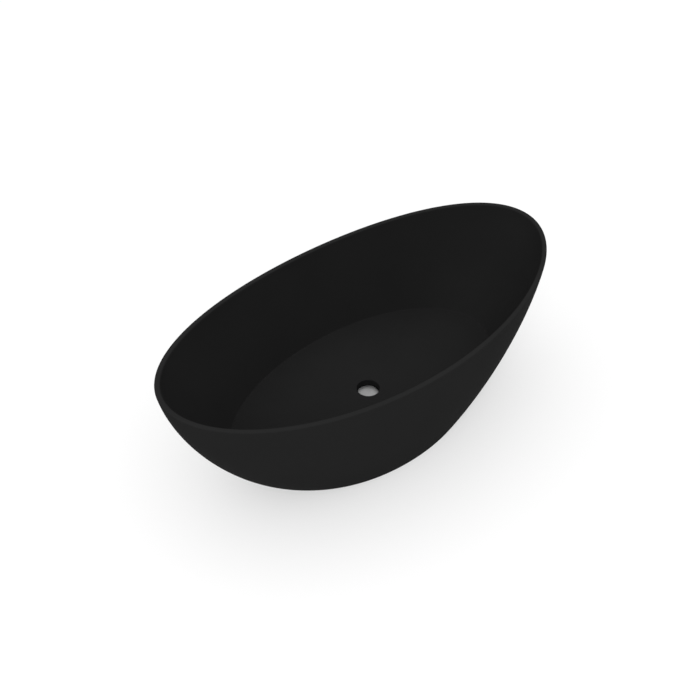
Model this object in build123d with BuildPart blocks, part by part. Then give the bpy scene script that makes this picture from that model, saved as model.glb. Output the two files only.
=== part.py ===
from build123d import *

import os
from math import cos, radians, sin

# Freestanding oval bath: a cast solid-surface shell with a boat-shaped rim, a
# push-down waste in the middle of its floor and four levelling feet that stand
# inside the plinth, out of sight.
#
# Millimetres, +Z up, X along the bath. The origin is on the room's floor, under
# the middle of the waste.

# ---------------------------------------------------------------- bath shell
length = 1700.0            # over the two raised ends of the rim
width = 850.0              # over the sides, at the middle of the rim
rim_end_height = 580.0
rim_rise = 50.0            # of the ends over the middle of the sides
base_length = 1008.0       # the plinth, where the wall meets the floor
base_width = 628.0
rim_thickness = 19.0
end_wall_extra = 17.0      # the end walls thicken by this much down to the floor
plinth_thickness = 24.0
plinth_gap = 3.0           # between the plinth and the room's floor
rim_radius = 5.0
crease_radius = 9.0        # where the wall turns into the bath's floor
plinth_radius = 2.0

end_flare = 1.586          # how the ends open out with height, and how full
end_belly = 0.791          # they are low down
side_flare = 1.822         # the same for the sides
side_belly = 0.967
upright_above_rim = 20.0   # the walls would stand upright this far over the rim

floor_height = 120.0       # bath floor at the edge of the waste recess
floor_fall = 15.0          # from the foot of the walls to the waste
floor_slab = 22.0          # thinnest part of the bath's floor

rim_mid_height = rim_end_height - rim_rise

# --------------------------------------------------------------------- waste
recess_diameter = 90.0
recess_depth = 40.0
recess_radius = 2.5
seat_thickness = 14.0
seat_margin = 30.0         # how far the thickened seat runs past the recess
tail_diameter = 47.8       # G 1 1/2 pipe thread
tail_wall = 3.9
tail_hole_play = 2.1       # around the tail where it passes the shell
free_tail = 30.0           # left below the backnut for the trap
relief_width = 2.0         # groove where the backnut's thread ends
relief_depth = 0.8
flange_thickness = 3.5
flange_play = 2.0          # between the flange and the wall of the recess
top_seal_thickness = 2.5
bottom_seal_thickness = 3.0
slip_washer_thickness = 1.5
washer_width = 11.0
washer_play = 0.3
backnut_height = 10.0
backnut_wall = 6.0         # at the middle of a flat
thread_play = 0.05
mouth_chamfer = 2.5        # where the flange leads into the bore

spoke_thickness = 3.0
spoke_height = 8.0
spoke_drop = 3.5           # top of the spokes below the top of the flange
hub_wall = 2.5

# ------------------------------------------------------------- push-down plug
plug_play = 2.5            # water way between the cap and the recess
cap_thickness = 5.0
cap_crown = 1.5
cap_edge_radius = 1.0
cap_lift = 9.0             # travel from shut to open
hub_clearance = 0.5
cap_hub_wall = 3.5
seal_inset = 4.0           # in from the edge of the cap
seal_width = 6.0
seal_height = 2.5
seal_groove_depth = 1.5
stem_diameter = 8.0
running_play = 0.05
collar_play = 0.3          # between the stem's collar and the cartridge's wall
collar_thickness = 2.0
cartridge_diameter = 18.0
cartridge_collar = 1.6     # wider than the body, and rests on the hub
cartridge_collar_height = 2.0
cartridge_wall = 1.6
guide_length = 6.0
spring_shut_length = 14.0
spring_wire = 1.4
spring_turns = 5.0
spring_play = 0.9          # between the coil and the cartridge's wall
end_gap = 0.1

# ------------------------------------------------------------ levelling feet
foot_inset = 90.0          # in from the edge of the plinth
foot_angle = 38.0          # round the plinth from the X axis
foot_boss_wall = 18.0      # around the insert
foot_boss_height = 40.0
stud_diameter = 12.0
insert_wall = 4.0
insert_length = 30.0
insert_lip_width = 4.0
insert_lip_height = 2.0
stud_top_gap = 2.0         # stud's end below the top of the insert
socket_spare = 5.0         # hole beyond the insert
locknut_wall = 3.5         # at the middle of a flat
locknut_height = 7.0
hex_wall = 2.5             # of the spanner hexagon, over the thread
hex_height = 6.0
hex_base = 21.0            # underside of the spanner hexagon
sole_thickness = 2.5
sole_diameter = 50.0
pad_edge_height = 4.0
pad_neck_wall = 4.7
pad_height = 18.0          # top of the pad over the floor
ball_lip = 3.0             # of the stud's ball end, over the thread
ball_height = 4.0
ball_base = 8.0
ball_play = 0.3


# ------------------------------------------------------- shape of the hull
def swell(z, flare, belly):
    """How far the wall has opened out at height z, 0 at the floor, 1 at the top."""
    fraction = z / (rim_end_height + upright_above_rim)
    return (1 - (1 - fraction) ** flare) ** belly


def half_length(z):
    opened = swell(z, end_flare, end_belly) / swell(rim_end_height, end_flare, end_belly)
    return (base_length + (length - base_length) * opened) / 2


def half_width(z):
    opened = swell(z, side_flare, side_belly) / swell(rim_mid_height, side_flare, side_belly)
    return (base_width + (width - base_width) * opened) / 2


def basin_half_length(z):
    below_rim = (rim_end_height - z) / (rim_end_height - crease_height)
    return half_length(z) - rim_thickness - end_wall_extra * below_rim


def basin_half_width(z):
    return half_width(z) - rim_thickness


def levels(low, high, count, crowding):
    """Heights of the loft's sections, closer together near the low end."""
    return [low + (high - low) * (i / count) ** crowding for i in range(count + 1)]


crease_height = floor_height + floor_fall
hull_top = rim_end_height + upright_above_rim
slab_underside = floor_height - floor_slab
recess_floor = floor_height - recess_depth
seat_underside = recess_floor - seat_thickness
tail_radius = tail_diameter / 2
tail_hole_radius = tail_radius + tail_hole_play
overlap = 5.0              # how far joined features run into each other

foot_places = [
    (
        sx * (base_length / 2 - foot_inset) * cos(radians(foot_angle)),
        sy * (base_width / 2 - foot_inset) * sin(radians(foot_angle)),
    )
    for sx, sy in ((1, 1), (-1, 1), (-1, -1), (1, -1))
]
boss_underside = slab_underside - foot_boss_height
stud_radius = stud_diameter / 2
insert_radius = stud_radius + insert_wall
insert_top = boss_underside + insert_length
boss_radius = insert_radius + foot_boss_wall


# -------------------------------------------------------------- shell: tools
with BuildPart() as hull:
    for z in levels(plinth_gap, hull_top, 12, 1.6):
        with BuildSketch(Plane.XY.offset(z)):
            Ellipse(half_length(z), half_width(z))
    loft()

with BuildPart() as above_rim:
    with BuildSketch(Plane.XZ):
        with BuildLine():
            sheer = ThreePointArc(
                (-length / 2, rim_end_height), (0, rim_mid_height), (length / 2, rim_end_height)
            )
            Line(sheer @ 0, (-length, rim_end_height))
            Polyline(
                (-length, rim_end_height),
                (-length, 2 * rim_end_height),
                (length, 2 * rim_end_height),
                (length, rim_end_height),
                sheer @ 1,
            )
        make_face()
    extrude(amount=width, both=True)

with BuildPart() as basin:
    for z in levels(crease_height, hull_top, 8, 1.2):
        with BuildSketch(Plane.XY.offset(z)):
            Ellipse(basin_half_length(z), basin_half_width(z))
    loft()
    with BuildSketch(Plane.XY.offset(crease_height)):
        Ellipse(basin_half_length(crease_height), basin_half_width(crease_height))
    with BuildSketch(Plane.XY.offset(floor_height)):
        Circle(recess_diameter / 2 + 2 * recess_radius)
    loft(ruled=True)
    crease = basin.edges().filter_by_position(Axis.Z, crease_height - 0.5, crease_height + 0.5)
    fillet(crease, crease_radius)

with BuildPart() as under_floor:
    for z in levels(plinth_gap, slab_underside, 6, 1.3):
        with BuildSketch(Plane.XY.offset(z)):
            Ellipse(half_length(z) - plinth_thickness, half_width(z) - plinth_thickness)
    loft()

# -------------------------------------------------------------- shell: piece
with BuildPart() as tub_shell:
    add(hull.part)
    add(above_rim.part, mode=Mode.SUBTRACT)
    add(basin.part, mode=Mode.SUBTRACT)
    add(under_floor.part, mode=Mode.SUBTRACT)
    # thickened seat under the waste recess
    with BuildSketch(Plane.XY.offset(seat_underside)):
        Circle(recess_diameter / 2 + seat_margin)
    extrude(amount=slab_underside - seat_underside + overlap)
    # bosses for the levelling feet
    with BuildSketch(Plane.XY.offset(boss_underside)):
        with Locations(*foot_places):
            Circle(boss_radius)
    extrude(amount=foot_boss_height + overlap)
    with BuildSketch(Plane.XY.offset(boss_underside)):
        with Locations(*foot_places):
            Circle(insert_radius)
    extrude(amount=insert_length + socket_spare, mode=Mode.SUBTRACT)
    # recess and hole of the waste
    with BuildSketch(Plane.XY.offset(recess_floor)):
        Circle(recess_diameter / 2)
    extrude(amount=recess_depth + overlap, mode=Mode.SUBTRACT)
    with BuildSketch(Plane.XY.offset(seat_underside)):
        Circle(tail_hole_radius)
    extrude(amount=seat_thickness, mode=Mode.SUBTRACT)
    # softened edges: rim, recess and foot of the plinth
    rim_edges = tub_shell.edges().filter_by_position(Axis.Z, rim_mid_height, rim_end_height)
    fillet(rim_edges, rim_radius)
    recess_edge = tub_shell.edges().filter_by_position(Axis.Z, floor_height - 0.1, floor_height + 0.1)
    fillet(recess_edge.filter_by(GeomType.CIRCLE).sort_by(SortBy.RADIUS)[0], recess_radius)
    plinth_edges = tub_shell.edges().filter_by_position(Axis.Z, plinth_gap - 0.1, plinth_gap + 0.1)
    fillet(plinth_edges.sort_by(SortBy.LENGTH)[-1], plinth_radius)
tub_shell.part.label = "tub_shell"

# ------------------------------------------------------ waste: heights, radii
flange_underside = recess_floor + top_seal_thickness
flange_top = flange_underside + flange_thickness
flange_radius = recess_diameter / 2 - flange_play
bore_radius = tail_radius - tail_wall
bottom_seal_base = seat_underside - bottom_seal_thickness
slip_washer_base = bottom_seal_base - slip_washer_thickness
backnut_base = slip_washer_base - backnut_height
relief_base = backnut_base - relief_width
tail_end = backnut_base - free_tail
hub_top = flange_top - spoke_drop
hub_base = hub_top - spoke_height
cartridge_radius = cartridge_diameter / 2

cartridge_top = hub_top + cartridge_collar_height
guide_base = cartridge_top - guide_length
chamber_radius = cartridge_radius - cartridge_wall
collar_base = guide_base - end_gap - cap_lift - collar_thickness
chamber_base = collar_base - spring_shut_length
cartridge_base = chamber_base - cartridge_wall

cap_radius = recess_diameter / 2 - plug_play
cap_base = flange_top + seal_height - seal_groove_depth
cap_top = cap_base + cap_thickness
cap_hub_base = cartridge_top + hub_clearance
stem_radius = stem_diameter / 2
stem_top = cap_top - seal_groove_depth
seal_outer_radius = cap_radius - seal_inset
seal_inner_radius = seal_outer_radius - seal_width


def ring(base, height, outer_radius, inner_radius):
    """A flat ring or short tube round the middle of the waste."""
    with BuildPart() as piece:
        with BuildSketch(Plane.XY.offset(base)):
            Circle(outer_radius)
            Circle(inner_radius, mode=Mode.SUBTRACT)
        extrude(amount=height)
    return piece.part


# ------------------------------------------------------------- waste: pieces
with BuildPart() as waste_flange:
    with BuildSketch(Plane.XZ):
        Polygon(
            (bore_radius, tail_end),
            (tail_radius, tail_end),
            (tail_radius, relief_base),
            (tail_radius - relief_depth, relief_base),
            (tail_radius - relief_depth, backnut_base),
            (tail_radius, backnut_base),
            (tail_radius, flange_underside),
            (flange_radius, flange_underside),
            (flange_radius, flange_top),
            (bore_radius + mouth_chamfer, flange_top),
            (bore_radius, flange_top - mouth_chamfer),
            align=None,
        )
    revolve(axis=Axis.Z)
    with BuildSketch(Plane.XY.offset(hub_base)):
        Rectangle(2 * bore_radius + 1, spoke_thickness)
        Rectangle(spoke_thickness, 2 * bore_radius + 1)
        Circle(cartridge_radius + hub_wall)
        Circle(cartridge_radius + thread_play, mode=Mode.SUBTRACT)
    extrude(amount=spoke_height)

waste_top_seal = ring(
    recess_floor, top_seal_thickness, flange_radius - 1, tail_radius + washer_play
)
washer_radius = tail_radius + washer_play + washer_width
waste_bottom_seal = ring(
    bottom_seal_base, bottom_seal_thickness, washer_radius, tail_radius + washer_play
)
waste_slip_washer = ring(
    slip_washer_base, slip_washer_thickness, washer_radius, tail_radius + washer_play
)

with BuildPart() as waste_backnut:
    with BuildSketch(Plane.XY.offset(backnut_base)):
        RegularPolygon(tail_radius + backnut_wall, 6, major_radius=False)
        Circle(tail_radius + thread_play, mode=Mode.SUBTRACT)
    extrude(amount=backnut_height)

# -------------------------------------------------------- push-down plug
with BuildPart() as plug_cartridge:
    with BuildSketch(Plane.XZ):
        Polygon(
            (0, cartridge_base),
            (cartridge_radius, cartridge_base),
            (cartridge_radius, hub_top),
            (cartridge_radius + cartridge_collar, hub_top),
            (cartridge_radius + cartridge_collar, cartridge_top),
            (stem_radius + running_play, cartridge_top),
            (stem_radius + running_play, guide_base),
            (chamber_radius, guide_base),
            (chamber_radius, chamber_base),
            (0, chamber_base),
            align=None,
        )
    revolve(axis=Axis.Z)

with BuildPart() as plug_stem:
    with BuildSketch(Plane.XY.offset(collar_base)):
        Circle(stem_radius)
    extrude(amount=stem_top - collar_base)
    with BuildSketch(Plane.XY.offset(collar_base)):
        Circle(chamber_radius - collar_play)
    extrude(amount=collar_thickness)

with BuildPart() as plug_spring:
    coil_radius = chamber_radius - spring_play - spring_wire / 2
    coil_height = spring_shut_length - spring_wire - 2 * end_gap
    with BuildLine():
        coil = Helix(
            pitch=coil_height / spring_turns,
            height=coil_height,
            radius=coil_radius,
            center=(0, 0, chamber_base + end_gap + spring_wire / 2),
        )
    with BuildSketch(Plane(coil @ 0, z_dir=coil % 0)):
        Circle(spring_wire / 2)
    sweep(is_frenet=True)

with BuildPart() as plug_cap:
    with BuildSketch(Plane.XZ):
        with BuildLine():
            crown = TangentArc((0, cap_top + cap_crown), (cap_radius, cap_top), tangent=(1, 0))
            Polyline(crown @ 1, (cap_radius, cap_base), (0, cap_base), crown @ 0)
        make_face()
    revolve(axis=Axis.Z)
    cap_edge = plug_cap.edges().filter_by_position(Axis.Z, cap_top - 0.1, cap_top + 0.1)
    fillet(cap_edge, cap_edge_radius)
    with BuildSketch(Plane.XY.offset(cap_hub_base)):
        Circle(stem_radius + cap_hub_wall)
    extrude(amount=cap_base - cap_hub_base)
    with BuildSketch(Plane.XY.offset(cap_hub_base)):
        Circle(stem_radius)
    extrude(amount=stem_top - cap_hub_base, mode=Mode.SUBTRACT)
    with BuildSketch(Plane.XY.offset(cap_base)):
        Circle(seal_outer_radius)
        Circle(seal_inner_radius, mode=Mode.SUBTRACT)
    extrude(amount=seal_groove_depth, mode=Mode.SUBTRACT)

plug_seal = ring(
    flange_top, seal_height, seal_outer_radius, seal_inner_radius
)


# ------------------------------------------------------- levelling feet
def foot_planes(x, y):
    """A level plane and an upright one through the foot's axis, and that axis."""
    level = Plane((x, y, 0))
    upright = Plane((x, y, 0), x_dir=(1, 0, 0), z_dir=(0, -1, 0))
    return level, upright, Axis((x, y, 0), (0, 0, 1))


def foot_insert(x, y):
    """Threaded bush moulded into the boss, with a lip under it."""
    level, upright, axis = foot_planes(x, y)
    bore = stud_radius + thread_play
    with BuildPart() as piece:
        with BuildSketch(upright):
            Polygon(
                (bore, boss_underside - insert_lip_height),
                (insert_radius + insert_lip_width, boss_underside - insert_lip_height),
                (insert_radius + insert_lip_width, boss_underside),
                (insert_radius, boss_underside),
                (insert_radius, insert_top),
                (bore, insert_top),
                align=None,
            )
        revolve(axis=axis)
    return piece.part


def foot_locknut(x, y):
    level, upright, axis = foot_planes(x, y)
    top = boss_underside - insert_lip_height
    with BuildPart() as piece:
        with BuildSketch(level.offset(top - locknut_height)):
            RegularPolygon(stud_radius + locknut_wall, 6, major_radius=False)
            Circle(stud_radius + thread_play, mode=Mode.SUBTRACT)
        extrude(amount=locknut_height)
    return piece.part


def foot_stud(x, y):
    """Threaded stud with a spanner hexagon and a flat ball end held by the pad."""
    level, upright, axis = foot_planes(x, y)
    with BuildPart() as piece:
        with BuildSketch(level.offset(ball_base)):
            Circle(stud_radius)
        extrude(amount=insert_top - stud_top_gap - ball_base)
        with BuildSketch(level.offset(hex_base)):
            RegularPolygon(stud_radius + hex_wall, 6, major_radius=False)
        extrude(amount=hex_height)
        with BuildSketch(level.offset(ball_base)):
            Circle(stud_radius + ball_lip)
        extrude(amount=ball_height)
    return piece.part


def foot_pad(x, y):
    """Snap-on pad: its socket holds the stud's ball end and lets it turn."""
    level, upright, axis = foot_planes(x, y)
    neck_bore = stud_radius + ball_play
    socket_radius = stud_radius + ball_lip + ball_play
    neck_radius = socket_radius + pad_neck_wall
    socket_top = ball_base + ball_height + ball_play
    with BuildPart() as piece:
        with BuildSketch(upright):
            Polygon(
                (0, sole_thickness),
                (sole_diameter / 2, sole_thickness),
                (sole_diameter / 2, sole_thickness + pad_edge_height),
                (neck_radius, socket_top),
                (neck_radius, pad_height),
                (neck_bore, pad_height),
                (neck_bore, socket_top),
                (socket_radius, socket_top),
                (socket_radius, ball_base),
                (0, ball_base),
                align=None,
            )
        revolve(axis=axis)
    return piece.part


def foot_sole(x, y):
    level, upright, axis = foot_planes(x, y)
    with BuildPart() as piece:
        with BuildSketch(level):
            Circle(sole_diameter / 2)
        extrude(amount=sole_thickness)
    return piece.part


# ------------------------------------------------------------------- export
pieces = {
    "tub_shell": tub_shell.part,
    "waste_flange": waste_flange.part,
    "waste_top_seal": waste_top_seal,
    "waste_bottom_seal": waste_bottom_seal,
    "waste_slip_washer": waste_slip_washer,
    "waste_backnut": waste_backnut.part,
    "plug_cartridge": plug_cartridge.part,
    "plug_stem": plug_stem.part,
    "plug_spring": plug_spring.part,
    "plug_cap": plug_cap.part,
    "plug_seal": plug_seal,
}
for number, (x, y) in enumerate(foot_places, 1):
    pieces[f"foot_{number}_insert"] = foot_insert(x, y)
    pieces[f"foot_{number}_locknut"] = foot_locknut(x, y)
    pieces[f"foot_{number}_stud"] = foot_stud(x, y)
    pieces[f"foot_{number}_pad"] = foot_pad(x, y)
    pieces[f"foot_{number}_sole"] = foot_sole(x, y)

os.makedirs("parts", exist_ok=True)
for name, piece in pieces.items():
    piece.label = name
    export_step(piece, f"parts/{name}.step")
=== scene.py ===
# %% [markdown]
# # A freestanding oval bath
#
# The bath is one casting of black mineral-filled resin: a thin oval hull, a boat-shaped rim and a
# plinth that hides four levelling feet. A push-down waste sits deep in a recess in the middle of
# its floor. The model that was designed for it holds every size and every joint. This script keeps
# that model as its frame and gives each piece its finished shape and its finish.
#
# Nearly everything on a bath is either the oval hull, which follows one rule all the way round, or
# a piece that came off a lathe. So there is one Geometry Nodes tree for each, and the pieces are
# lists of a few rows that the trees sweep round. A third tree winds the one spring.

from math import atan, cos, pi, radians, sin, sqrt

import bmesh
import bpy
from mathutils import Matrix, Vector


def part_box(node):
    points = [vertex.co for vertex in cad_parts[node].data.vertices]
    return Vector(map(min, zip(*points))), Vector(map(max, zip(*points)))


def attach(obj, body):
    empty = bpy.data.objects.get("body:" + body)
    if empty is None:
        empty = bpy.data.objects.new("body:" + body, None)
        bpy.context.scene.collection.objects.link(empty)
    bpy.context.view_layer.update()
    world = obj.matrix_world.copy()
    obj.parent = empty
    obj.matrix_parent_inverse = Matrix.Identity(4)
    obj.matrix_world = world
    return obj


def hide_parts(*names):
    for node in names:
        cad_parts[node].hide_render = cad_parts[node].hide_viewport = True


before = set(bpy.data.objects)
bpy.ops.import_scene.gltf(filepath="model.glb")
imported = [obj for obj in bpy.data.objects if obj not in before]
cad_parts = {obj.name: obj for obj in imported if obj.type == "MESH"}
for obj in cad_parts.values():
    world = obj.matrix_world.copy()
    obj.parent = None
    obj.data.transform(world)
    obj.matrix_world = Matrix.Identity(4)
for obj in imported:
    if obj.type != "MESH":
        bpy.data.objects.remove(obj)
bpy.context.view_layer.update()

# %% [markdown]
# ## Writing node trees as sums
#
# Node trees are easier to read as arithmetic than as a list of nodes and links. One small class
# wraps a node's output and turns `+`, `-`, `*`, `/` and `**` into Math nodes. A second one stands
# for a tree and has a single method that adds any other node. Both kinds of tree share the Math
# node, so the same two classes serve shaders and geometry.

# %% Sockets
class Socket:
    """The output of a node, with arithmetic that adds Math nodes."""

    def __init__(self, graph, output):
        self.graph = graph
        self.output = output

    def maths(self, operation, *others):
        return self.graph.node("ShaderNodeMath", {"operation": operation}, [self, *others])

    def __add__(self, other):
        return self.maths("ADD", other)

    def __sub__(self, other):
        return self.maths("SUBTRACT", other)

    def __mul__(self, other):
        return self.maths("MULTIPLY", other)

    def __truediv__(self, other):
        return self.maths("DIVIDE", other)

    def __pow__(self, other):
        return self.maths("POWER", other)

    def __rsub__(self, other):
        return self.graph.node("ShaderNodeMath", {"operation": "SUBTRACT"}, [other, self])

    __radd__ = __add__
    __rmul__ = __mul__


# %% Graphs
class Graph:
    """A node tree that is being built."""

    def __init__(self, tree):
        self.tree = tree

    def node(self, kind, settings=None, values=(), output=0):
        """Adds a node: first its settings, then the values or links of its sockets."""
        made = self.tree.nodes.new(kind)
        for name, value in (settings or {}).items():
            setattr(made, name, value)
        pairs = values.items() if isinstance(values, dict) else enumerate(values)
        for key, value in pairs:
            if isinstance(value, Socket):
                self.tree.links.new(value.output, made.inputs[key])
            else:
                made.inputs[key].default_value = value
        return Socket(self, made.outputs[output]) if made.outputs else made


# %% [markdown]
# ## Geometry trees and what they return
#
# A tree only counts once it is a plain mesh. The helper below gives a tree its named inputs, runs
# it once as a modifier on a list of rows, takes the evaluated mesh and throws the modifier away.
# Each row is one point with a few numbers stored on it, and the trees read those numbers.

# %% An empty tree, and rows to feed it
def new_geometry_tree(name, inputs):
    tree = bpy.data.node_groups.new(name, "GeometryNodeTree")
    sockets = tree.interface
    sockets.new_socket("Geometry", in_out="INPUT", socket_type="NodeSocketGeometry")
    for label, kind in inputs:
        sockets.new_socket(label, in_out="INPUT", socket_type="NodeSocket" + kind)
    sockets.new_socket("Geometry", in_out="OUTPUT", socket_type="NodeSocketGeometry")
    graph = Graph(tree)
    group = tree.nodes.new("NodeGroupInput")
    return graph, {socket.name: Socket(graph, socket) for socket in group.outputs if socket.name}


def rows_mesh(name, rows, columns):
    """A mesh of loose points that carry one named number per column."""
    mesh = bpy.data.meshes.new(name)
    mesh.vertices.add(len(rows))
    for index, column in enumerate(columns):
        stored = mesh.attributes.new(column, "FLOAT", "POINT")
        stored.data.foreach_set("value", [row[index] for row in rows])
    return mesh


# %% Growing a piece, and finishing its mesh
def grow(name, tree, rows, columns, **inputs):
    """Runs a tree on rows of numbers and returns the finished piece."""
    points = bpy.data.objects.new(name + "_rows", rows_mesh(name + "_rows", rows, columns))
    bpy.context.scene.collection.objects.link(points)
    modifier = points.modifiers.new("grow", "NODES")
    modifier.node_group = tree
    by_name = {item.name: item.identifier for item in tree.interface.items_tree}
    for label, value in inputs.items():
        modifier[by_name[label.replace("_", " ")]] = value
    evaluated = points.evaluated_get(bpy.context.evaluated_depsgraph_get())
    mesh = bpy.data.meshes.new_from_object(evaluated)
    bpy.data.objects.remove(points)
    return finished(name, mesh)


def finished(name, mesh):
    """Turns a closed mesh's faces outwards and puts it in the scene as one piece."""
    work = bmesh.new()
    work.from_mesh(mesh)
    bmesh.ops.recalc_face_normals(work, faces=work.faces)
    if work.calc_volume(signed=True) < 0:
        bmesh.ops.reverse_faces(work, faces=work.faces)
    open_edges = sum(not edge.is_manifold for edge in work.edges)
    work.to_mesh(mesh)
    work.free()
    mesh.name = name
    piece = bpy.data.objects.new(name, mesh)
    bpy.context.scene.collection.objects.link(piece)
    print(name, "has", len(mesh.polygons), "faces and", open_edges, "open edges")
    return piece


# %% [markdown]
# ## Finishes
#
# Black solid surface is matt because its polished face is scratched finely and evenly. It isn't
# one flat black: the filler gives it a faint cloud, and the sanding leaves a fine tooth that
# breaks up the highlights. Metals differ in the tool marks that their last operation left. Every
# finish below varies in colour, in roughness and in relief, and reads Object coordinates, so the
# pattern stays on the piece wherever the piece goes.

# %% Parts that several finishes share
def new_finish(name, **constants):
    """A material with its Principled shader, whose constants are set on its own sockets."""
    material = bpy.data.materials.new(name)
    material.use_nodes = True
    shader = material.node_tree.nodes["Principled BSDF"]
    for label, value in constants.items():
        shader.inputs[label.replace("_", " ")].default_value = value
    return material, Graph(material.node_tree), shader


def feed(graph, shader, **links):
    for label, socket in links.items():
        graph.tree.links.new(socket.output, shader.inputs[label.replace("_", " ")])


def noise(graph, where, scale, detail, roughness=0.5):
    values = {"Vector": where, "Scale": scale, "Detail": detail, "Roughness": roughness}
    return graph.node("ShaderNodeTexNoise", {}, values, output="Fac")


def blend(graph, amount, low, high):
    """A colour between two, by a number from 0 to 1. A Mix node's colour sockets are numbered."""
    factor, first, second, result = 0, 6, 7, 2
    values = {factor: amount, first: (*low, 1), second: (*high, 1)}
    return graph.node("ShaderNodeMix", {"data_type": "RGBA"}, values, output=result)


def relief(graph, height, distance, strength):
    values = {"Strength": strength, "Distance": distance, "Height": height}
    return graph.node("ShaderNodeBump", {}, values)


# %% Black solid surface
def black_solid_surface():
    material, graph, shader = new_finish("black_solid_surface", Specular_IOR_Level=0.01)
    where = graph.node("ShaderNodeTexCoord", output="Object")
    cloud = noise(graph, where, 3.5, detail=4.0)
    tooth = noise(graph, where, 900.0, detail=3.0, roughness=0.7)
    fleck = noise(graph, where, 260.0, detail=1.0)
    tone = cloud * 0.7 + fleck * 0.3
    darkest, palest = (0.0104, 0.0104, 0.0104), (0.0150, 0.0150, 0.0150)
    feed(
        graph,
        shader,
        Base_Color=blend(graph, tone, darkest, palest),
        Roughness=0.80 + cloud * 0.10 + tooth * 0.06,
        Normal=relief(graph, tooth, 0.00004, 0.35),
    )
    return material


black = black_solid_surface()


# %% Distance from a lathe's axis
def axis_of(node):
    """Where the axis of an upright round node stands."""
    low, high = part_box(node)
    return (low.x + high.x) / 2, (low.y + high.y) / 2


foot_along, foot_across = axis_of("foot_1_sole")
print(f"the feet stand {foot_along:.3f} m along and {foot_across:.3f} m across from the waste")


def radius_from_axis(graph, here):
    """How far a point is from the axis it was turned about, the waste's or its own foot's."""
    x, y = (graph.node("ShaderNodeSeparateXYZ", {}, [here], output=name) for name in "XY")
    on_foot = x.maths("ABSOLUTE").maths("GREATER_THAN", foot_along / 2)
    along = x.maths("ABSOLUTE") - on_foot * foot_along
    across = y.maths("ABSOLUTE") - on_foot * foot_across
    return (along * along + across * across).maths("SQRT")


# %% Metals
def turned_metal(name, low, high, roughness, ring_spacing):
    """Metal with the fine rings that a lathe or a polishing wheel leaves."""
    material, graph, shader = new_finish(name, Metallic=1.0)
    here = graph.node("ShaderNodeTexCoord", output="Object")
    radius = radius_from_axis(graph, here)
    height = graph.node("ShaderNodeSeparateXYZ", {}, [here], output="Z")
    ring = graph.node("ShaderNodeCombineXYZ", {}, [radius / ring_spacing, height / ring_spacing, 0])
    marks = noise(graph, ring, 1.0, detail=3.0, roughness=0.6)
    stain = noise(graph, here, 60.0, detail=3.0)
    feed(
        graph,
        shader,
        Base_Color=blend(graph, stain, low, high),
        Roughness=roughness + marks * 0.14 + stain * 0.06,
        Normal=relief(graph, marks, ring_spacing * 0.2, 0.25),
    )
    return material


satin_chrome = turned_metal(
    "satin_chrome", (0.26, 0.26, 0.26), (0.33, 0.33, 0.33), roughness=0.42, ring_spacing=0.0005
)
bare_brass = turned_metal(
    "bare_brass", (0.62, 0.43, 0.17), (0.80, 0.60, 0.28), roughness=0.28, ring_spacing=0.0004
)
zinc_steel = turned_metal(
    "zinc_steel", (0.52, 0.54, 0.57), (0.68, 0.69, 0.68), roughness=0.34, ring_spacing=0.0004
)
spring_steel = turned_metal(
    "spring_steel", (0.38, 0.38, 0.40), (0.55, 0.55, 0.56), roughness=0.30, ring_spacing=0.0002
)


# %% Rubber and nylon
def moulded(name, low, high, roughness, grain, depth):
    """A moulded plastic or rubber with a fine even grain from its tool."""
    material, graph, shader = new_finish(name)
    where = graph.node("ShaderNodeTexCoord", output="Object")
    grit = noise(graph, where, 1 / grain, detail=2.0, roughness=0.6)
    bloom = noise(graph, where, 35.0, detail=3.0)
    feed(
        graph,
        shader,
        Base_Color=blend(graph, bloom, low, high),
        Roughness=roughness + grit * 0.1 + bloom * 0.08,
        Normal=relief(graph, grit, depth, 0.5),
    )
    return material


black_rubber = moulded(
    "black_rubber", (0.016, 0.016, 0.017), (0.034, 0.034, 0.034), 0.72, grain=0.0008, depth=0.0001
)
white_nylon = moulded(
    "white_nylon", (0.68, 0.67, 0.62), (0.78, 0.77, 0.72), 0.42, grain=0.0012, depth=0.00004
)
black_nylon = moulded(
    "black_nylon", (0.022, 0.022, 0.023), (0.040, 0.040, 0.041), 0.50, grain=0.0010, depth=0.00006
)

# %% [markdown]
# ## The hull's rule
#
# Looked at from above, every level of the hull is an ellipse. Looked at from the side, the wall
# opens out quickly near the floor and stands almost upright at the rim. One formula gives how far
# it has opened at a height, with two numbers for the ends and two for the sides. The rim's ends
# rise over its middle as an arc, which over this length is the same as a parabola.

# %% The bath's own sizes, in metres
skin = 0.0003
length = 1.700 - 2 * skin
width = 0.850 - 2 * skin
rim_end_height = 0.580 - skin
rim_rise = 0.050
rim_mid_height = rim_end_height - rim_rise
base_length = 1.008
base_width = 0.628
rim_thickness = 0.019
end_wall_extra = 0.017
plinth_thickness = 0.024
plinth_gap = 0.003
rim_radius = 0.005
plinth_radius = 0.002
crease_reach = 0.0045
crease_share_of_floor = 0.009
end_flare, end_belly = 1.586, 0.791
side_flare, side_belly = 1.822, 0.967
hull_top = rim_end_height + 0.020
print(f"the rim is {rim_end_height:.4f} m high at the ends and {rim_mid_height:.4f} m at the sides")

# %% The floor's and the recess's sizes
floor_height = 0.120
crease_height = floor_height + 0.015
slab_underside = floor_height - 0.022
recess_radius = 0.045
recess_floor = floor_height - 0.040
recess_edge_radius = 0.0025
seat_underside = recess_floor - 0.014
seat_radius = recess_radius + 0.030
seat_chamfer = 0.002
tail_radius = 0.0239
tail_hole_radius = tail_radius + 0.0021
print(f"the waste's recess is {2 * recess_radius:.3f} m across")


# %% How far the wall has opened, in Python
def swell(z, flare, belly):
    return (1 - (1 - z / hull_top) ** flare) ** belly


def half_length(z):
    opened = swell(z, end_flare, end_belly) / swell(rim_end_height, end_flare, end_belly)
    return (base_length + (length - base_length) * opened) / 2


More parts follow.
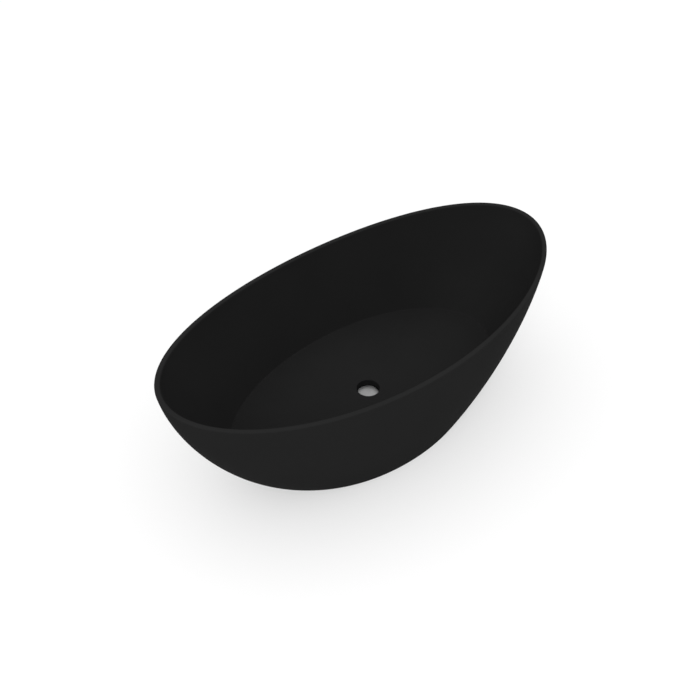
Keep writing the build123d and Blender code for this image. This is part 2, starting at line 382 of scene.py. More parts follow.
def half_width(z):
    opened = swell(z, side_flare, side_belly) / swell(rim_mid_height, side_flare, side_belly)
    return (base_width + (width - base_width) * opened) / 2


for level in (0.05, crease_height, 0.3, rim_mid_height):
    print(f"hull at {level:.3f} m: {2 * half_length(level):.3f} by {2 * half_width(level):.3f}")

# %% [markdown]
# ## One tree for the oval shell
#
# The tree is a grid that is bent into the shell: one direction runs round the oval, the other
# follows the wall's section, up the outside, over the rim, down the inside, across the floor into
# the waste recess, through its hole and back along the underside. Each row of the section says at
# what height it lies, how much of the rim's rise it takes and how far inside the hull it is. The
# tree works the hull's rule out again at the row's own height, which differs round the rim.

# %% Reading the rows, and a grid to bend
def sampled(graph, source, column, row):
    """The number that a row of the section carries."""
    stored = graph.node("GeometryNodeInputNamedAttribute", {"data_type": "FLOAT"}, {"Name": column})
    values = {"Geometry": source, "Value": stored, "Index": row}
    return graph.node("GeometryNodeSampleIndex", {"data_type": "FLOAT"}, values)


def swept_grid(graph, given, closed):
    """A flat grid with a row for each point of the section, and each point's row and angle."""
    rows = graph.node("GeometryNodeAttributeDomainSize", {"component": "MESH"}, [given["Geometry"]])
    around = given["Steps Around"]
    values = {"Vertices X": rows + closed, "Vertices Y": around + 1}
    grid = graph.node("GeometryNodeMeshGrid", {}, values)
    index = graph.node("GeometryNodeInputIndex")
    line = (index / (around + 1)).maths("FLOOR")
    angle = (index - line * (around + 1)) / around * (2 * pi)
    return grid, line.maths("MODULO", rows), angle


# %% Placing and welding the grid
def placed_and_welded(graph, grid, where, material):
    """Moves the grid's points, closes its seams, marks its sharp edges and gives it its finish."""
    sharp_from = radians(35)
    moved = graph.node("GeometryNodeSetPosition", {}, {"Geometry": grid, "Position": where})
    welded = graph.node("GeometryNodeMergeByDistance", {}, {"Geometry": moved, "Distance": 1e-6})
    values = {"Geometry": welded, "Shade Smooth": True}
    smooth = graph.node("GeometryNodeSetShadeSmooth", {}, values)
    bend = graph.node("GeometryNodeInputMeshEdgeAngle", output="Unsigned Angle")
    settings = {"data_type": "BOOLEAN", "domain": "EDGE"}
    sharp = bend.maths("GREATER_THAN", sharp_from)
    values = {"Geometry": smooth, "Name": "sharp_edge", "Value": sharp}
    marked = graph.node("GeometryNodeStoreNamedAttribute", settings, values)
    real = graph.node("GeometryNodeRealizeInstances", {}, [marked])
    values = {"Geometry": real, "Material": material}
    graph.node("NodeGroupOutput", {}, [graph.node("GeometryNodeSetMaterial", {}, values)])


# %% The oval shell's tree
HULL_COLUMNS = ("height", "rise_share", "end_inset", "side_inset")
HULL_SIZES = (
    "Length",
    "Width",
    "Base Length",
    "Base Width",
    "Rim End Height",
    "Rim Rise",
    "Hull Top",
    "End Flare",
    "End Belly",
    "Side Flare",
    "Side Belly",
)


def oval_shell_tree():
    inputs = [(size, "Float") for size in HULL_SIZES]
    inputs += [("Steps Around", "Int"), ("Material", "Material")]
    graph, given = new_geometry_tree("oval_shell", inputs)
    grid, row, angle = swept_grid(graph, given, 1)
    height, share, end_inset, side_inset = (
        sampled(graph, given["Geometry"], column, row) for column in HULL_COLUMNS
    )
    east = angle.maths("COSINE")
    north = angle.maths("SINE")
    half = given["Length"] / 2
    reach = (half - end_inset) / half * east
    z = height + share * given["Rim Rise"] * reach * reach

    def opened(level, flare, belly):
        return (1 - (1 - level / given["Hull Top"]) ** flare) ** belly

    def half_axis(total, base, flare, belly, rim_height):
        fraction = opened(z, flare, belly) / opened(rim_height, flare, belly)
        return (base + (total - base) * fraction) / 2

    rim_end = given["Rim End Height"]
    along = half_axis(
        given["Length"], given["Base Length"], given["End Flare"], given["End Belly"], rim_end
    )
    across = half_axis(
        given["Width"],
        given["Base Width"],
        given["Side Flare"],
        given["Side Belly"],
        rim_end - given["Rim Rise"],
    )
    x = (along - end_inset) * east
    y = (across - side_inset) * north
    where = graph.node("ShaderNodeCombineXYZ", {}, [x, y, z])
    placed_and_welded(graph, grid, where, given["Material"])
    return graph.tree


shell_tree = oval_shell_tree()
print("the oval shell's tree has", len(shell_tree.nodes), "nodes")

# %% [markdown]
# ## The shell's section
#
# The section is written as rows. Straight runs need a few rows, and roundings are short arcs. Rows
# that are circles, such as the waste recess, are turned into insets from the hull at their height,
# so that the tree treats every row alike.

# %% The section's rows
def wall_row(height, share, end_inset, side_inset):
    return (height, share, end_inset, side_inset)


def oval_row(along, across, z):
    """A level row with its own half axes."""
    return (z, 0.0, half_length(z) - along, half_width(z) - across)


def spread(count, crowding=1.0):
    return [(i / count) ** crowding for i in range(count + 1)]


print("a row at the foot of the wall holds", oval_row(0, 0, plinth_gap))


# %% Up the outside, over the rim and down the inside
def outer_wall():
    low = plinth_gap + plinth_radius
    high = rim_mid_height - rim_radius
    return [wall_row(low + (high - low) * t, t, 0, 0) for t in spread(44, crowding=1.7)]


def rim():
    rows = []
    flat = rim_thickness - 2 * rim_radius
    for start, side in ((0, rim_radius), (pi / 2, rim_radius + flat)):
        for t in spread(6):
            turn = start + t * pi / 2
            inset = side - rim_radius * cos(turn)
            rows.append(wall_row(rim_mid_height - rim_radius * (1 - sin(turn)), 1, inset, inset))
    return rows


def basin_end_inset(z):
    below_rim = (rim_end_height - z) / (rim_end_height - crease_height)
    return rim_thickness + end_wall_extra * below_rim


def inner_wall():
    low = crease_height + crease_reach
    high = rim_mid_height - rim_radius
    rows = []
    for t in reversed(spread(40, crowding=1.2)):
        height = low + (high - low) * t
        rows.append(wall_row(height, t, basin_end_inset(height + t * rim_rise), rim_thickness))
    return rows


print("the walls and the rim take", len(outer_wall() + rim() + inner_wall()), "rows")


# %% From the wall to the recess
def basin_oval(z):
    return half_length(z) - basin_end_inset(z), half_width(z) - rim_thickness


def floor_oval(t):
    """The bath's floor falls evenly from the foot of the wall, t = 0, to the recess, t = 1."""
    along, across = basin_oval(crease_height)
    mouth = recess_radius + 2 * recess_edge_radius
    return (
        along + (mouth - along) * t,
        across + (mouth - across) * t,
        crease_height + (floor_height - crease_height) * t,
    )


def crease():
    """A tight curve from the wall to the floor, through the two straight lines' corner."""
    top = (*basin_oval(crease_height + crease_reach), crease_height + crease_reach)
    corner = floor_oval(0)
    foot = floor_oval(crease_share_of_floor)
    rows = []
    for t in spread(6)[1:]:
        weights = ((1 - t) ** 2, 2 * t * (1 - t), t * t)
        axes = zip(top, corner, foot)
        rows.append(oval_row(*(sum(w * size for w, size in zip(weights, axis)) for axis in axes)))
    return rows


def bath_floor():
    start = crease_share_of_floor
    return [oval_row(*floor_oval(start + (1 - start) * t)) for t in spread(14)[1:]]


print("the crease and the floor take", len(crease() + bath_floor()), "rows")


# %% Through the recess and back under the floor
def recess_and_seat():
    rows = []
    for t in spread(5):
        radius = recess_radius + recess_edge_radius * (1 - sin(t * pi / 2))
        z = floor_height - recess_edge_radius * (1 - cos(t * pi / 2))
        rows.append(oval_row(radius, radius, z))
    circles = [
        (recess_radius, (recess_floor + floor_height) / 2),
        (recess_radius, recess_floor),
        (tail_hole_radius, recess_floor),
        (tail_hole_radius, seat_underside),
        (seat_radius - seat_chamfer, seat_underside),
        (seat_radius, seat_underside + seat_chamfer),
        (seat_radius, slab_underside),
    ]
    rows += [oval_row(radius, radius, z) for radius, z in circles]
    return rows


def under_slab():
    """From the seat out to the plinth, straight lines under the floor."""
    along = half_length(slab_underside) - plinth_thickness
    across = half_width(slab_underside) - plinth_thickness
    rows = []
    for t in spread(8)[1:]:
        axes = (seat_radius + (half_axis - seat_radius) * t for half_axis in (along, across))
        rows.append(oval_row(*axes, slab_underside))
    return rows


def plinth_inside():
    rows = []
    for t in reversed(spread(16, crowding=1.6)[:-1]):
        z = plinth_gap + (slab_underside - plinth_gap) * t
        rows.append(wall_row(z, 0, plinth_thickness, plinth_thickness))
    for t in spread(3)[:-1]:
        inset = plinth_radius * (1 - sin(t * pi / 2))
        z = plinth_gap + plinth_radius * (1 - cos(t * pi / 2))
        rows.append(wall_row(z, 0, inset, inset))
    return rows


# %% The whole section
section = outer_wall() + rim() + inner_wall() + crease() + bath_floor()
section += recess_and_seat() + under_slab() + plinth_inside()
print("the shell's section has", len(section), "rows")

# %% The shell
def make_shell():
    sizes = {
        "Length": length,
        "Width": width,
        "Base_Length": base_length,
        "Base_Width": base_width,
        "Rim_End_Height": rim_end_height,
        "Rim_Rise": rim_rise,
        "Hull_Top": hull_top,
        "End_Flare": end_flare,
        "End_Belly": end_belly,
        "Side_Flare": side_flare,
        "Side_Belly": side_belly,
    }
    piece = grow(
        "bath_shell", shell_tree, section, HULL_COLUMNS, Steps_Around=320, Material=black, **sizes
    )
    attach(piece, "tub")
    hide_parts("tub_shell")


make_shell()

# %% [markdown]
# ## One tree for everything that is turned
#
# A lathe piece is a section and an axis. The same grid serves: its rows carry a radius and a
# height. Three more numbers on each row turn a plain ring into hardware. A thread depth lets a
# helical groove into the row, a grip depth lets shallow scallops into it, and a distance across
# flats cuts the row down to a hexagon, which gives a nut the curved corners of its chamfer.

# %% The turned piece's tree
TURNED_COLUMNS = ("radius", "height", "thread", "grip", "flats")
NO_FLATS = 1.0


def turned_tree():
    inputs = [
        ("Steps Around", "Int"),
        ("Closed Section", "Int"),
        ("Pitch", "Float"),
        ("Grips", "Float"),
        ("Centre", "Vector"),
        ("Material", "Material"),
    ]
    graph, given = new_geometry_tree("turned_piece", inputs)
    grid, row, angle = swept_grid(graph, given, given["Closed Section"])
    radius, height, thread, grip, flats = (
        sampled(graph, given["Geometry"], column, row) for column in TURNED_COLUMNS
    )
    turn = (height / given["Pitch"] - angle / (2 * pi)).maths("FRACT")
    groove = (turn * 2 - 1).maths("ABSOLUTE")
    scallop = ((angle * given["Grips"]).maths("COSINE") + 1) / 2
    round_radius = radius - thread * groove - grip * scallop
    off_flat = (angle.maths("MODULO", pi / 3) - pi / 6).maths("COSINE")
    cut = round_radius.maths("MINIMUM", flats / 2 / off_flat)
    values = [cut * angle.maths("COSINE"), cut * angle.maths("SINE"), height]
    where = graph.node("ShaderNodeCombineXYZ", {}, values)
    where = graph.node("ShaderNodeVectorMath", {"operation": "ADD"}, [where, given["Centre"]])
    placed_and_welded(graph, grid, where, given["Material"])
    return graph.tree


lathe_tree = turned_tree()
print("the turned piece's tree has", len(lathe_tree.nodes), "nodes")


# %% Rows for turned sections
def plain(radius, height):
    return (radius, height, 0.0, 0.0, NO_FLATS)


def rounded(points, softness):
    """Rounds a section's corners. Each corner says what share of the softness it gets."""
    rows = []
    for index, (radius, height, ease) in enumerate(points):
        if not ease:
            rows.append(plain(radius, height))
            continue
        here = Vector((radius, height))
        before = Vector(points[index - 1][:2]) - here
        after = Vector(points[(index + 1) % len(points)][:2]) - here
        reach = min(softness * ease, before.length / 2, after.length / 2)
        start = here + before.normalized() * reach
        end = here + after.normalized() * reach
        for t in spread(3):
            point = start * (1 - t) ** 2 + here * (2 * t * (1 - t)) + end * t * t
            rows.append(plain(point.x, point.y))
    return rows


def threaded(radius, low, high, pitch, depth):
    """Close rows up a thread, which fades in over its first and last half turn."""
    rows_per_turn = 8
    rows = []
    for t in spread(max(rows_per_turn, round((high - low) / pitch * rows_per_turn))):
        from_end = min(t, 1 - t) * (high - low)
        faded = depth * min(1, from_end / (pitch / 2))
        rows.append((radius, low + (high - low) * t, faded, 0, NO_FLATS))
    return rows


# %% Hexagons
def hexagon_rows(low, high, flats, inner, chamfer, soft_edge):
    """A hexagon's outside, from below upwards. A cone cuts its corners back at both ends."""
    corner = flats / 2 / cos(pi / 6)
    face = flats / 2 - soft_edge
    return [
        (inner, low, 0, 0, NO_FLATS),
        (face, low, 0, 0, NO_FLATS),
        (corner, low + chamfer, 0, 0, flats),
        (corner, high - chamfer, 0, 0, flats),
        (face, high, 0, 0, NO_FLATS),
        (inner, high, 0, 0, NO_FLATS),
    ]


def denser(rows, count):
    """Puts rows along the cones, so that their cut across the flats stays curved."""
    widest_soft_edge = 0.0004
    made = []
    for index, row in enumerate(rows):
        after = rows[(index + 1) % len(rows)]
        on_cone = abs(after[0] - row[0]) > widest_soft_edge and after[1] != row[1]
        for t in spread(count if on_cone else 1)[:-1]:
            flats = row[4] if t == 0 else min(row[4], after[4])
            made.append(tuple(a + (b - a) * t for a, b in zip(row[:4], after[:4])) + (flats,))
    return made


def nut_rows(low, high, bore, flats, chamfer, count):
    """A hexagon nut whose bore has a short lead-in at both ends."""
    lead_in = 0.0006
    outside = hexagon_rows(low, high, flats, bore + lead_in, chamfer, soft_edge=0.0003)
    inside = [(bore, high - lead_in, 0, 0, NO_FLATS), (bore, low + lead_in, 0, 0, NO_FLATS)]
    return denser(outside + inside, count)


print("a plain row holds", dict(zip(TURNED_COLUMNS, plain(0.01, 0.0))))


# %% A turned piece, and the measures of a node
def turned(name, rows, material, body, node, steps=64, pitch=1.0, grips=0, centre=(0, 0), closed=1):
    """A turned piece that rides on a body and stands for a node."""
    piece = grow(
        name,
        lathe_tree,
        rows,
        TURNED_COLUMNS,
        Steps_Around=steps,
        Closed_Section=closed,
        Pitch=pitch,
        Grips=float(grips),
        Centre=(*centre, 0.0),
        Material=material,
    )
    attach(piece, body)
    if node:
        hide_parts(node)


def measured(node):
    """A round node's outer radius, and its lowest and highest level."""
    low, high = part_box(node)
    return (high.x - low.x) / 2, low.z, high.z


for node in ("waste_flange", "plug_cap", "foot_1_sole"):
    print(node, "has the radius, base and top", [round(size, 4) for size in measured(node)])

# %% [markdown]
# ## The waste
#
# The waste clamps the floor of the recess between its flange and a backnut. Each side has a
# rubber ring, and a nylon washer lets the nut turn without dragging its seal round. The heights
# come from the frame's own boxes, so the pieces meet as they do in the designed model.

# %% The waste's sizes
flange_radius, tail_end, flange_top = measured("waste_flange")
flange_underside = measured("waste_top_seal")[2]
nut_low, nut_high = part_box("waste_backnut")
nut_base, nut_top = nut_low.z, nut_high.z
nut_flats = nut_high.y - nut_low.y
tail_wall = 0.0039
bore_radius = tail_radius - tail_wall
mouth_chamfer = 0.0025
relief_depth = 0.0008
relief_height = 0.002
pipe_pitch = 0.0254 / 11
pipe_thread_depth = 0.0012
print(f"the tail runs from {tail_end:.4f} m up to the flange at {flange_underside:.4f} m")


# %% Waste body, with its flange and threaded tail
def waste_body_rows():
    relief_base = nut_base - relief_height
    relief_radius = tail_radius - relief_depth
    end_chamfer = 0.0005
    thread_start = tail_end + 0.0008
    step = 0.0001
    rows = [
        plain(bore_radius, tail_end + end_chamfer),
        plain(bore_radius + end_chamfer, tail_end),
        plain(tail_radius - pipe_thread_depth, tail_end),
    ]
    rows += threaded(tail_radius, thread_start, relief_base, pipe_pitch, pipe_thread_depth)
    rows += [plain(relief_radius, relief_base + step), plain(relief_radius, nut_base)]
    rows += threaded(tail_radius, nut_base + step, seat_underside, pipe_pitch, pipe_thread_depth)
    flange = [
        (tail_radius, flange_underside, 0),
        (flange_radius, flange_underside, 0.6),
        (flange_radius, flange_top, 1),
        (bore_radius + mouth_chamfer, flange_top, 1),
        (bore_radius, flange_top - mouth_chamfer, 1),
    ]
    return rows + rounded(flange, softness=0.0009)


turned(
    "waste_body",
    waste_body_rows(),
    satin_chrome,
    "tub",
    "waste_flange",
    steps=96,
    pitch=pipe_pitch,
)

# %% The plug's sizes
collar_radius, cartridge_base, cartridge_top = measured("plug_cartridge")
cartridge_collar_height = 0.002
cartridge_wall = 0.0016
cartridge_radius = collar_radius - cartridge_wall
stem_radius = 0.004
stem_collar_height = 0.002
guide_height = 0.006
running_play = 0.00005
print(f"the cartridge is {2 * cartridge_radius:.4f} m across, its stem {2 * stem_radius:.3f} m")


# %% Four spokes and a hub
def spoke_and_arc(work, quarter, level):
    """A quarter of the web's outline: one spoke's end and the hub's arc up to the next spoke."""
    hub_radius = 0.0115
    half_spoke = 0.0015
    into_wall = 0.001
    tip = bore_radius + into_wall
    root = sqrt(hub_radius ** 2 - half_spoke ** 2)
    turn = quarter * pi / 2
    points = []
    for along, across in ((tip, -half_spoke), (tip, half_spoke), (root, half_spoke)):
        x = along * cos(turn) - across * sin(turn)
        y = along * sin(turn) + across * cos(turn)
        points.append(work.verts.new((x, y, level)))
    off_spoke = atan(half_spoke / root)
    for t in spread(8)[1:]:
        at = turn + off_spoke + (pi / 2 - 2 * off_spoke) * t
        points.append(work.verts.new((hub_radius * cos(at), hub_radius * sin(at), level)))
    return points


def hub_hole(work, level):
    radius = cartridge_radius + running_play
    angles = [2 * pi * step / 48 for step in range(48)]
    return [work.verts.new((radius * cos(at), radius * sin(at), level)) for at in angles]


def make_cross_web():
    """The spokes carry the cartridge in the bore. They are one flat outline, made thick."""
    web_height = 0.008
    web_top = cartridge_top - cartridge_collar_height
    work = bmesh.new()
    outline = [point for q in range(4) for point in spoke_and_arc(work, q, web_top - web_height)]
    rings = (outline, hub_hole(work, web_top - web_height))
    edges = [work.edges.new((ring[i - 1], ring[i])) for ring in rings for i in range(len(ring))]
    bmesh.ops.triangle_fill(work, edges=edges, use_beauty=True)
    raised = bmesh.ops.extrude_face_region(work, geom=work.faces[:])
    top = [item for item in raised["geom"] if isinstance(item, bmesh.types.BMVert)]
    bmesh.ops.translate(work, verts=top, vec=(0, 0, web_height))
    mesh = bpy.data.meshes.new("waste_cross_web")
    work.to_mesh(mesh)
    work.free()
    mesh.materials.append(satin_chrome)
    piece = finished("waste_cross_web", mesh)
    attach(piece, "tub")


make_cross_web()


# %% Seals, slip washer and backnut
def ring_rows(node, softness):
    """A flat ring with the size of a node. Its hole is read from the node's own points."""
    outer, base, top = measured(node)
    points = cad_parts[node].data.vertices
    inner = min(sqrt(point.co.x ** 2 + point.co.y ** 2) for point in points)
    return rounded([(inner, base, 1), (outer, base, 1), (outer, top, 1), (inner, top, 1)], softness)


for name, node, material, softness in (
    ("top_seal", "waste_top_seal", black_rubber, 0.0006),
    ("bottom_seal", "waste_bottom_seal", black_rubber, 0.0008),
    ("slip_washer", "waste_slip_washer", white_nylon, 0.0003),
):
    turned(name, ring_rows(node, softness), material, "tub", node)

turned(
    "backnut",
    nut_rows(nut_base, nut_top, tail_radius + running_play, nut_flats, chamfer=0.0022, count=12),
    bare_brass,
    "tub",
    "waste_backnut",
    steps=180,
)

# %% [markdown]
# ## The push-down plug
#
# The cap is all that a bather sees: a shallow satin dome low in the recess, with a water way round
# it. A stem carries it, and a small spring and latch in the cartridge let one push open it and the
# next push shut it.

# %% Cap and its seal
cap_radius, cap_hub_base, cap_crown = measured("plug_cap")
cap_seal_radius, _, cap_seal_top = measured("plug_seal")
seal_groove_depth = 0.0015
dome_rise = 0.0015
cap_skin_over_stem = 0.0015
cap_base = cap_seal_top - seal_groove_depth
cap_edge_top = cap_crown - dome_rise
cap_seal_width = 0.006
cap_hub_radius = stem_radius + 0.0035
print(f"the cap is {2 * cap_radius:.3f} m across and its crown is {cap_crown:.4f} m up")


def cap_rows():
    """From the crown out over the edge, then in under the cap to the stem's socket."""
    dome_radius = cap_radius - 0.001
    edge_width = 0.0012
    rows = []
    for t in spread(14):
        rows.append(plain(dome_radius * t, cap_edge_top + dome_rise * (1 - t * t)))
    edge = [
        (cap_radius - edge_width, cap_edge_top, 0),
        (cap_radius, cap_edge_top, 1),
        (cap_radius, cap_base, 0.5),
        (cap_seal_radius, cap_base, 0),
    ]
    socket_top = cap_edge_top - cap_skin_over_stem
    under = [
        (cap_seal_radius, cap_seal_top),
        (cap_seal_radius - cap_seal_width, cap_seal_top),
        (cap_seal_radius - cap_seal_width, cap_base),
        (cap_hub_radius, cap_base),
        (cap_hub_radius, cap_hub_base),
        (stem_radius, cap_hub_base),
        (stem_radius, socket_top),
        (0.0, socket_top),
    ]
    return rows + rounded(edge, softness=edge_width) + [plain(*point) for point in under]


turned("plug_cap_disc", cap_rows(), satin_chrome, "plug", "plug_cap", steps=128, closed=0)
turned("cap_seal", ring_rows("plug_seal", 0.0007), black_rubber, "plug", "plug_seal", steps=96)


# %% Stem and cartridge
def stem_rows():
    collar, base, top = measured("plug_stem")
    collar_top = base + stem_collar_height
    outline = [
        (0, base, 0),
        (collar, base, 1),
        (collar, collar_top, 1),
        (stem_radius, collar_top, 0.5),
        (stem_radius, top, 1),
        (0, top, 0),
    ]
    return rounded(outline, softness=0.0005)


def cartridge_rows():
    collar_base = cartridge_top - cartridge_collar_height
    chamber = cartridge_radius - cartridge_wall
    guide = stem_radius + running_play
    guide_base = cartridge_top - guide_height
    floor = cartridge_base + cartridge_wall
    outline = [
        (0, cartridge_base, 0),
        (cartridge_radius, cartridge_base, 1),
        (cartridge_radius, collar_base, 0.3),
        (collar_radius, collar_base, 0.5),
        (collar_radius, cartridge_top, 1),
        (guide, cartridge_top, 0.5),
        (guide, guide_base, 0.5),
        (chamber, guide_base, 0.5),
        (chamber, floor, 0.5),
        (0, floor, 0),
    ]
    return rounded(outline, softness=0.0006)


turned("plug_stem_rod", stem_rows(), bare_brass, "plug", "plug_stem", closed=0)
turned("plug_cartridge_housing", cartridge_rows(), white_nylon, "tub", "plug_cartridge", closed=0)

# %% [markdown]
# ## The spring
#
# A spring is wire that follows a path, so it is a helix with a round section swept along it. It
# fills the same height and the same width as the designed model's spring.

# %% A coil from a curve
def coil_tree():
    inputs = [
        ("Turns", "Float"),
        ("Coil Radius", "Float"),
        ("Coil Height", "Float"),
        ("Wire Radius", "Float"),
        ("Base", "Vector"),
        ("Material", "Material"),
    ]
    graph, given = new_geometry_tree("coil", inputs)
    values = {
        "Resolution": 40,
        "Rotations": given["Turns"],
        "Start Radius": given["Coil Radius"],
        "End Radius": given["Coil Radius"],
        "Height": given["Coil Height"],
    }
    path = graph.node("GeometryNodeCurveSpiral", {}, values)
    values = {"Geometry": path, "Offset": given["Base"]}
    lifted = graph.node("GeometryNodeSetPosition", {}, values)
    values = {"Resolution": 12, "Radius": given["Wire Radius"]}
    circle = graph.node("GeometryNodeCurvePrimitiveCircle", {}, values)
    values = {"Curve": lifted, "Profile Curve": circle, "Fill Caps": True}
    wire = graph.node("GeometryNodeCurveToMesh", {}, values)
    smooth = graph.node("GeometryNodeSetShadeSmooth", {}, {"Geometry": wire, "Shade Smooth": True})
    real = graph.node("GeometryNodeRealizeInstances", {}, [smooth])
    values = {"Geometry": real, "Material": given["Material"]}
    graph.node("NodeGroupOutput", {}, [graph.node("GeometryNodeSetMaterial", {}, values)])
    return graph.tree


spring_tree = coil_tree()
print("the coil's tree has", len(spring_tree.nodes), "nodes")


# %% The plug's spring
def make_spring():
    outer, base, top = measured("plug_spring")
    wire_radius = 0.0007
    piece = grow(
        "plug_coil_spring",
        spring_tree,
        [(0.0,)],
        ("start",),
        Turns=5.0,
        Coil_Radius=outer - wire_radius,
        Coil_Height=top - base - 2 * wire_radius,
        Wire_Radius=wire_radius,
        Base=(0.0, 0.0, base + wire_radius),
        Material=spring_steel,
    )
    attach(piece, "tub")
    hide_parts("plug_spring")


make_spring()

# %% [markdown]
# ## The levelling feet
#
# All four feet are alike, so each piece has one function and a loop places it. A brass insert is
# moulded into a boss of the shell. The stud screws up into it, a thin nut locks it, and its flat
# ball end turns in a nylon pad with a rubber sole. Only the place of the axis differs from foot to
# foot, and it comes from the foot's own sole.

# %% The feet's sizes
stud_radius = 0.006
stud_pitch = 0.00175
stud_thread_depth = 0.0009
ball_radius = stud_radius + 0.003
ball_height = 0.004
ball_play = 0.0003
lip_width = 0.004
lip_depth_in_boss = 0.002
hex_above_end = 0.013
hex_height = 0.006
hex_wall = 0.0025
insert_lip, insert_base, insert_top = measured("foot_1_insert")
insert_radius = insert_lip - lip_width
lip_top = measured("foot_1_locknut")[2] + lip_depth_in_boss
print(f"an insert is {2 * insert_radius:.3f} m across and {insert_top - insert_base:.3f} m tall")


# %% Boss and insert
def make_boss(number, centre):
    wall = 0.018
    overlap = 0.004
    boss_radius = insert_radius + wall
    into_slab = slab_underside + overlap
    outline = [
        (insert_radius, lip_top, 0),
        (boss_radius, lip_top, 1),
        (boss_radius, into_slab, 0),
        (insert_radius, into_slab, 0),
    ]
    rows = rounded(outline, softness=0.0015)
    turned(f"foot_{number}_boss", rows, black, "tub", None, centre=centre)


def make_insert(number, centre):
    """The insert's outside is knurled, so that the casting holds it."""
    bore = stud_radius + running_play
    soft = 0.0003
    knurl = 0.0004
    knurl_inset = 0.0006
    rows = [
        plain(bore, insert_base),
        plain(insert_lip, insert_base),
        plain(insert_lip, lip_top - soft),
        plain(insert_lip - soft, lip_top),
        plain(insert_radius - knurl, lip_top),
        (insert_radius, lip_top + knurl_inset, 0, knurl, NO_FLATS),
        (insert_radius, insert_top - knurl_inset, 0, knurl, NO_FLATS),
        plain(insert_radius - 2 * knurl, insert_top),
        plain(bore, insert_top),
    ]
    turned(
        f"foot_{number}_knurled_insert",
        rows,
        bare_brass,
        "tub",
        f"foot_{number}_insert",
        steps=128,
        grips=32,
        centre=centre,
    )


# %% Locknut and stud
def make_locknut(number, centre):
    node = f"foot_{number}_locknut"
    low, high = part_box(node)
    bore, flats = stud_radius + running_play, high.y - low.y
    rows = nut_rows(low.z, high.z, bore, flats, chamfer=0.0012, count=8)
    name = f"foot_{number}_lock_nut"
    turned(name, rows, zinc_steel, "tub", node, steps=120, centre=centre)


def stud_rows(low, high):
    """A flat ball end, a spanner's hexagon and a thread up to the top."""
    soft = 0.0008
    chamfer = 0.001
    hex_base = low + hex_above_end
    hex_top = hex_base + hex_height
    flats = 2 * (stud_radius + hex_wall)
    hexagon = hexagon_rows(hex_base, hex_top, flats, stud_radius, chamfer, soft_edge=0.0002)
    rows = [
        plain(0, low),
        plain(ball_radius - soft, low),
        plain(ball_radius, low + soft),
        plain(ball_radius, low + ball_height - soft),
        plain(ball_radius - soft, low + ball_height),
        plain(stud_radius, low + ball_height),
        plain(stud_radius, hex_base),
    ]
    rows += denser(hexagon, count=4)[1:-1]
    rows += [plain(stud_radius, hex_top), plain(stud_radius, hex_top + chamfer)]
    thread_base, thread_top = hex_top + 2 * chamfer, high - chamfer
    rows += threaded(stud_radius, thread_base, thread_top, stud_pitch, stud_thread_depth)
    return rows + [plain(stud_radius - stud_thread_depth, high), plain(0, high)]


def make_stud(number, centre):
    node = f"foot_{number}_stud"
    low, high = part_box(node)
    turned(
        f"foot_{number}_threaded_stud",
        stud_rows(low.z, high.z),
        zinc_steel,
        f"foot_{number}_screw",
        node,
        steps=72,
        pitch=stud_pitch,
        centre=centre,
        closed=0,
    )


# %% Pad and sole
def make_pad(number, centre):
    node = f"foot_{number}_pad"
    edge, base, top = measured(node)
    neck = stud_radius + ball_play
    socket = ball_radius + ball_play
    socket_base = measured(f"foot_{number}_stud")[1]
    socket_top = socket_base + ball_height + ball_play
    rim_height = 0.004
    neck_wall = 0.0047
    outer_neck = socket + neck_wall
    outline = [
        (0, base, 0),
        (edge, base, 0.5),
        (edge, base + rim_height, 1),
        (outer_neck, socket_top, 1),
        (outer_neck, top, 1),
        (neck, top, 1),
        (neck, socket_top, 0.3),
        (socket, socket_top, 0),
        (socket, socket_base, 0),
        (0, socket_base, 0),
    ]
    rows = rounded(outline, softness=0.0012)
    name = f"foot_{number}_swivel_pad"
    turned(name, rows, black_nylon, f"foot_{number}_base", node, centre=centre, closed=0)


def make_sole(number, centre):
    """Three grooves ring the sole's underside, so that it grips a wet floor."""
    node = f"foot_{number}_sole"
    edge, base, top = measured(node)
    soft = 0.0004
    groove_base = base + 0.0008
    half_mouth, half_bed = 0.0011, 0.0006
    rows = [plain(0, top), plain(edge, top), plain(edge, base + soft), plain(edge - soft, base)]
    for share in (0.75, 0.5, 0.25):
        middle = edge * share
        rows += [plain(middle + half_mouth, base), plain(middle + half_bed, groove_base)]
        rows += [plain(middle - half_bed, groove_base), plain(middle - half_mouth, base)]
    rows.append(plain(0, base))
    name = f"foot_{number}_grooved_sole"
    turned(name, rows, black_rubber, f"foot_{number}_base", node, centre=centre, closed=0)


# %% All four feet
for number in range(1, 5):
    centre = axis_of(f"foot_{number}_sole")
    for make in (make_boss, make_insert, make_locknut, make_stud, make_pad, make_sole):
        make(number, centre)
    print(f"foot {number} stands at {centre[0]:.3f}, {centre[1]:.3f} m")

# %% [markdown]
# ## Floor, light and camera
#
# The room is a white floor under a white sky that is brighter overhead, which is how a soft studio
# looks from inside the bath. The floor glows a little, so its shadows stay pale. One soft lamp in
# front and to the left tips the balance a little, so that the hull's roundness shows.

# %% The floor
def make_floor(radius, grey, glow):
    rim = [(radius * cos(radians(a)), radius * sin(radians(a)), 0) for a in range(0, 360, 3)]
    mesh = bpy.data.meshes.new("studio_floor")
    mesh.from_pydata(rim, [], [range(len(rim))])
    floor = bpy.data.objects.new("studio_floor", mesh)
    bpy.context.scene.collection.objects.link(floor)
    material, graph, shader = new_finish(
        "studio_white", Roughness=0.9, Specular_IOR_Level=0.0, Emission_Strength=glow
    )
    shader.inputs["Emission Color"].default_value = (1, 1, 1, 1)
    shader.inputs["Base Color"].default_value = (grey, grey, grey, 1)
    mesh.materials.append(material)
    print(f"the floor is {2 * radius} m across")


make_floor(radius=90, grey=0.37, glow=0.46)


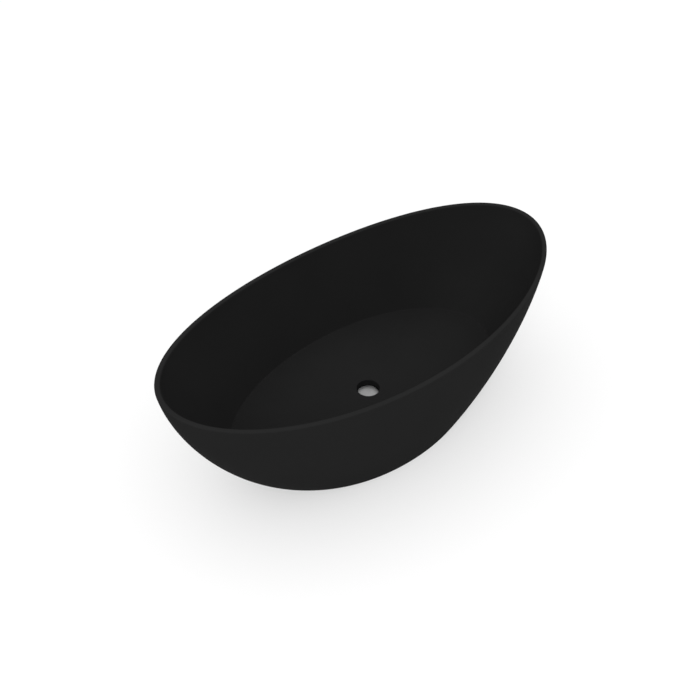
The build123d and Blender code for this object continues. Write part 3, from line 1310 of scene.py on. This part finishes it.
# %% The sky and the lamp
def make_sky(horizon, zenith):
    """A white sky that is brighter overhead, as a studio with a big overhead bank is."""
    world = bpy.data.worlds.new("studio_sky")
    world.use_nodes = True
    background = world.node_tree.nodes["Background"]
    background.inputs["Color"].default_value = (1, 1, 1, 1)
    graph = Graph(world.node_tree)
    direction = graph.node("ShaderNodeTexCoord", output="Generated")
    height = graph.node("ShaderNodeSeparateXYZ", {}, [direction], output="Z").maths("MAXIMUM", 0)
    level = horizon + (zenith - horizon) * height
    graph.tree.links.new(level.output, background.inputs["Strength"])
    bpy.context.scene.world = world


def make_lamp(name, place, target, size, power):
    light = bpy.data.lights.new(name, "AREA")
    light.shape = "DISK"
    light.size = size
    light.energy = power
    lamp = bpy.data.objects.new(name, light)
    lamp.location = place
    lamp.rotation_euler = (Vector(target) - Vector(place)).to_track_quat("-Z", "Y").to_euler()
    bpy.context.scene.collection.objects.link(lamp)
    print(f"{name}: {power} W, {size} m across")


make_sky(horizon=0.55, zenith=2.0)
make_lamp("front_lamp", (-2.6, -2.2, 3.0), (0, 0, 0.2), 1.2, 45)


# %% The camera
def make_camera(azimuth, elevation, distance, lens, aim_right, aim_up):
    """A camera on a sphere round a point, which is aimed off the bath's middle."""
    a, e = radians(azimuth), radians(elevation)
    back = Vector((sin(a) * cos(e), -cos(a) * cos(e), sin(e)))
    right = Vector((cos(a), sin(a), 0))
    up = back.cross(right)
    data = bpy.data.cameras.new("camera")
    data.sensor_width = 36
    data.lens = lens
    camera = bpy.data.objects.new("camera", data)
    camera.location = right * aim_right + up * aim_up + back * distance
    camera.rotation_mode = "QUATERNION"
    camera.rotation_quaternion = (-back).to_track_quat("-Z", "Y")
    bpy.context.scene.collection.objects.link(camera)
    bpy.context.scene.camera = camera
    print("the camera stands at", [round(value, 3) for value in camera.location])


make_camera(
    azimuth=-41.42,
    elevation=41.89,
    distance=3.256,
    lens=41.4,
    aim_right=-0.0717,
    aim_up=0.2383,
)
bpy.context.scene.view_settings.view_transform = "Standard"
